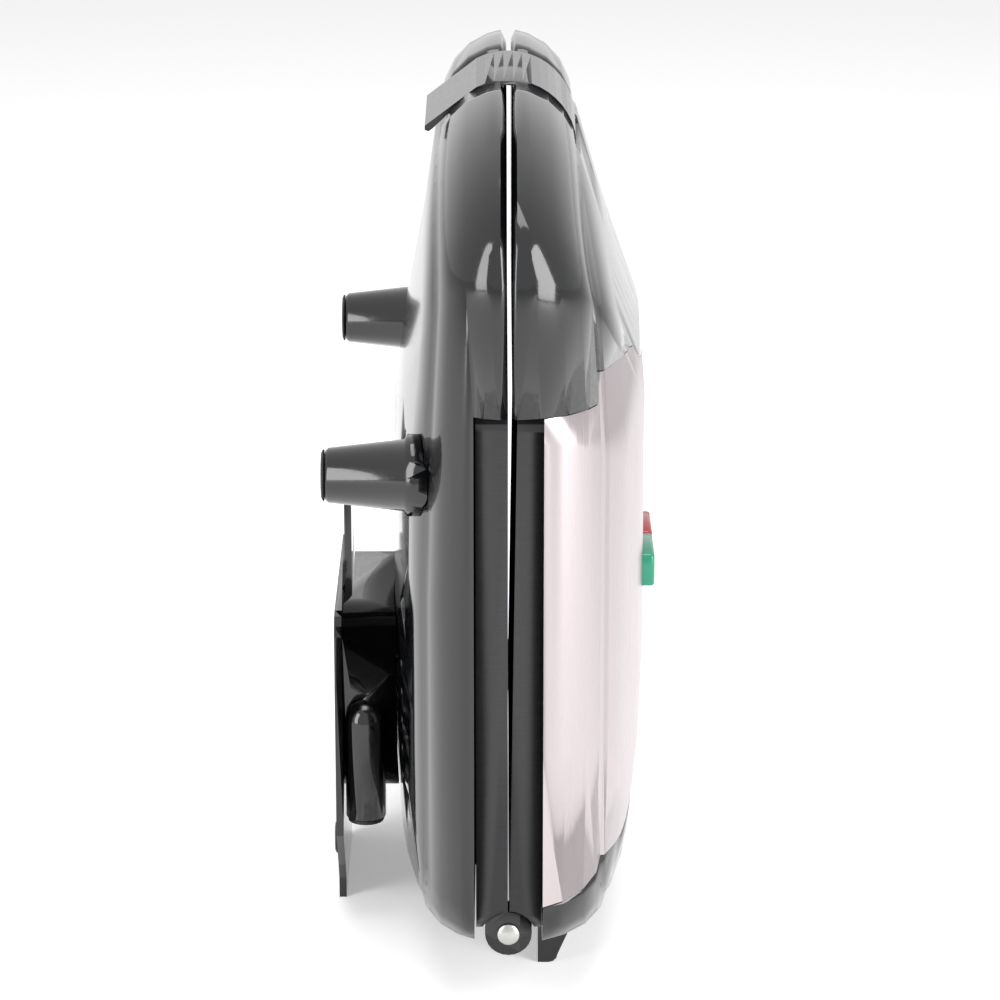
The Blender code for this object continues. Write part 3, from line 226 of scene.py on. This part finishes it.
# %% The other finishes
def speckled(name, colour, roughness, metallic=0.0, spot=1.0, depth=0.1, spread=0.15, **sockets):
    """A finish whose roughness and relief vary over spots of one size, in millimetres."""
    made, tree, shader = new_material(name, colour, roughness, metallic, **sockets)
    place = add_node(tree, "ShaderNodeTexCoord")
    where = [("Vector", place.outputs["Object"])]
    spots = add_node(tree, "ShaderNodeTexNoise", where, Scale=1 / (spot * MM), Detail=2.0)
    vary = add_node(
        tree,
        "ShaderNodeMapRange",
        [("Value", spots.outputs["Fac"])],
        From_Min=0.3,
        From_Max=0.7,
        To_Min=roughness * (1 - spread),
        To_Max=roughness * (1 + spread),
    )
    tree.links.new(vary.outputs["Result"], shader.inputs["Roughness"])
    height = [("Height", spots.outputs["Fac"])]
    relief = add_node(tree, "ShaderNodeBump", height, Strength=depth, Distance=0.2 * MM)
    tree.links.new(relief.outputs["Normal"], shader.inputs["Normal"])
    return made


rubber = speckled("moulded_rubber", "#141415", 0.6, spot=0.4, depth=0.2)
plated = speckled("zinc_plated_steel", "#b5b6b2", 0.32, 1.0, spot=0.8)
sheath = speckled("heat_darkened_sheath", "#6f6964", 0.45, 1.0, spot=2.0)
tray = speckled("rolled_aluminised_sheet", "#c6c7c9", 0.3, 1.0, spot=3.0)
ceramic = speckled("fired_ceramic", "#dcd8cf", 0.55, spot=0.6)
glass = speckled("lamp_glass", "#d8d4cc", 0.08, spot=2.0, depth=0.02)
sleeve = speckled("woven_glass_sleeve", "#cfcbbd", 0.85, spot=0.5, depth=0.5)
green_cap = speckled("green_polycarbonate", "#0a8a6a", 0.12, spot=2.0, depth=0.05, IOR=1.58)
red_cap = speckled("red_polycarbonate", "#a01218", 0.12, spot=2.0, depth=0.05, IOR=1.58)

# %% [markdown]
# ## Finish by part
#
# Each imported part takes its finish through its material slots, and its smooth copy takes the same.


# %% Hand out the finishes
FINISHES = {
    black_abs: ["base_housing", "lid_housing", "cord_wrap", "front_leg_near", "front_leg_far"],
    clip_abs: ["latch_clip"],
    skin_steel: ["steel_skin"],
    coat: ["lower_cooking_plate", "upper_cooking_plate"],
    rubber: ["leg_tip_near", "leg_tip_far", "cord_gland", "wrap_pad_near", "wrap_pad_far"],
    plated: ["hinge_pin_near", "hinge_pin_far", "latch_pin", "thermal_fuse"]
    + [f"{half}_screw_{number}" for half in ("base", "lid") for number in (1, 2, 3, 4)],
    sheath: ["lower_heating_element", "upper_heating_element"],
    tray: ["lower_heat_reflector", "upper_heat_reflector"],
    ceramic: ["lamp_holder", "thermostat", "terminal_block"],
    glass: ["lamp_near", "lamp_far"],
    sleeve: ["element_lead_near", "element_lead_far"],
    green_cap: ["lens_near"],
    red_cap: ["lens_far"],
}
for finish, nodes in FINISHES.items():
    for node in nodes:
        for slot in frame["nodes"][node].material_slots:
            slot.material = finish
print("finished parts:", sum(len(nodes) for nodes in FINISHES.values()))

# %% [markdown]
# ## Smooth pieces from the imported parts
#
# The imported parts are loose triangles, so light breaks at each of their edges. On the real maker
# these are moulded, cast or turned surfaces that run on without facets. They could be modelled
# again from formulas. Here a copy of each part has its corners merged and is shaded smooth up to
# an angle, which keeps the part's exact outline and all of its openings.


# %% Merged copies
MERGE_DISTANCE = 0.002 * MM
SMOOTH_ANGLE = math.radians(32)


def merged_copy(node, finish):
    """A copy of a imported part: corners merged, and shaded smooth where faces meet at a low angle."""
    mesh = frame["nodes"][node].data.copy()
    made = bpy.data.objects.new(f"{node}_piece", mesh)
    bpy.context.scene.collection.objects.link(made)
    bm = bmesh.new()
    bm.from_mesh(mesh)
    bmesh.ops.remove_doubles(bm, verts=bm.verts[:], dist=MERGE_DISTANCE)
    bm.to_mesh(mesh)
    bm.free()
    mesh.materials.clear()
    mesh.materials.append(finish)
    mesh.shade_smooth()
    mesh.set_sharp_from_angle(angle=SMOOTH_ANGLE)
    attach(made, BODY_OF[node])
    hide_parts(node)


BODIES = frame["record"]["behaviour"]["bodies"]
BODY_OF = {node: body for body, nodes in BODIES.items() for node in nodes}
for finish, nodes in FINISHES.items():
    for node in nodes:
        merged_copy(node, finish)
print("smooth pieces:", len(BODY_OF))

# %% [markdown]
# ## Camera, floor and light
#
# The photograph was taken with a long lens from about 18 degrees above, square to one side of
# the maker. The floor is a pale sheet, and the world behind it is white to the camera. Two tall
# soft boxes stand beside the object, as long reflections in its black sides show, and a third
# hangs above it.

# %% Camera
CAMERA_ELEVATION = math.radians(18.1)
CAMERA_DISTANCE = 1.1958
TARGET = Vector((0.0019, 0.0, 0.115))
SENSOR = 0.036
FOCAL_SHARE = 4.107

look = Vector((0.0, math.cos(CAMERA_ELEVATION), -math.sin(CAMERA_ELEVATION)))
camera = bpy.data.objects.new("camera", bpy.data.cameras.new("camera"))
camera.data.sensor_width = SENSOR / MM
camera.data.lens = camera.data.sensor_width * FOCAL_SHARE
camera.location = TARGET - look * CAMERA_DISTANCE
camera.rotation_euler = look.to_track_quat("-Z", "Y").to_euler()
bpy.context.scene.collection.objects.link(camera)
bpy.context.scene.camera = camera


# %% Floor and world
FLOOR_GLOW = 0.35
WORLD_GLOW = 0.35


def backdrop_material():
    """A plain diffuse white that also glows a little, so that it stays pale away from the lamps."""
    made = bpy.data.materials.new("white_backdrop")
    made.use_nodes = True
    tree = made.node_tree
    tree.nodes.clear()
    output = add_node(tree, "ShaderNodeOutputMaterial")
    white = add_node(tree, "ShaderNodeBsdfDiffuse", Color=linear("#ffffff"))
    glow = add_node(tree, "ShaderNodeEmission", Color=linear("#ffffff"), Strength=FLOOR_GLOW)
    both = add_node(tree, "ShaderNodeAddShader", [(0, white.outputs[0]), (1, glow.outputs[0])])
    tree.links.new(both.outputs[0], output.inputs["Surface"])
    return made


FLOOR_SIZE = 6.0
floor_mesh = bpy.data.meshes.new("floor")
corner = FLOOR_SIZE / 2
corners = [(-corner, -corner, 0), (corner, -corner, 0), (corner, corner, 0), (-corner, corner, 0)]
floor_mesh.from_pydata(corners, [], [(0, 1, 2, 3)])
floor = bpy.data.objects.new("floor", floor_mesh)
floor.data.materials.append(backdrop_material())
bpy.context.scene.collection.objects.link(floor)

world = bpy.data.worlds.new("studio")
world.use_nodes = True
bpy.context.scene.world = world
tree = world.node_tree
tree.nodes.clear()
path = add_node(tree, "ShaderNodeLightPath")
camera_ray, glossy_ray, through_ray = (
    path.outputs[f"Is {kind} Ray"] for kind in ("Camera", "Glossy", "Transmission")
)
seen = add_node(tree, "ShaderNodeMath", [(0, camera_ray), (1, glossy_ray)], operation="ADD")
bright = [(0, seen.outputs[0]), (1, through_ray)]
through = add_node(tree, "ShaderNodeMath", bright, operation="ADD", use_clamp=True)
dim = add_node(tree, "ShaderNodeBackground", Color=linear("#ffffff"), Strength=WORLD_GLOW)
full = add_node(tree, "ShaderNodeBackground", Color=linear("#ffffff"), Strength=1.0)
shades = [(0, through.outputs[0]), (1, dim.outputs[0]), (2, full.outputs[0])]
pick = add_node(tree, "ShaderNodeMixShader", shades)
add_node(tree, "ShaderNodeOutputWorld", [("Surface", pick.outputs[0])])
bpy.context.scene.view_settings.view_transform = "Standard"


# %% Soft boxes
def soft_box(name, place, size, power):
    """An area lamp at a place, turned to face the middle of the object."""
    lamp = bpy.data.lights.new(name, "AREA")
    lamp.shape = "RECTANGLE"
    lamp.size, lamp.size_y = size
    lamp.energy = power
    made = bpy.data.objects.new(name, lamp)
    made.location = place
    made.rotation_euler = (TARGET - Vector(place)).to_track_quat("-Z", "Y").to_euler()
    bpy.context.scene.collection.objects.link(made)


# Each soft box has its place and size in metres, and its power in watts.
SOFT_BOXES = {
    "key_right": ((0.9, -0.7, 0.5), (0.5, 1.0), 12),
    "fill_left": ((-0.9, -0.7, 0.5), (0.4, 1.0), 8),
    "top": ((0.0, 0.1, 1.2), (0.8, 0.8), 8),
}
for name, (place, size, power) in SOFT_BOXES.items():
    soft_box(name, place, size, power)
print("soft boxes:", len(SOFT_BOXES))
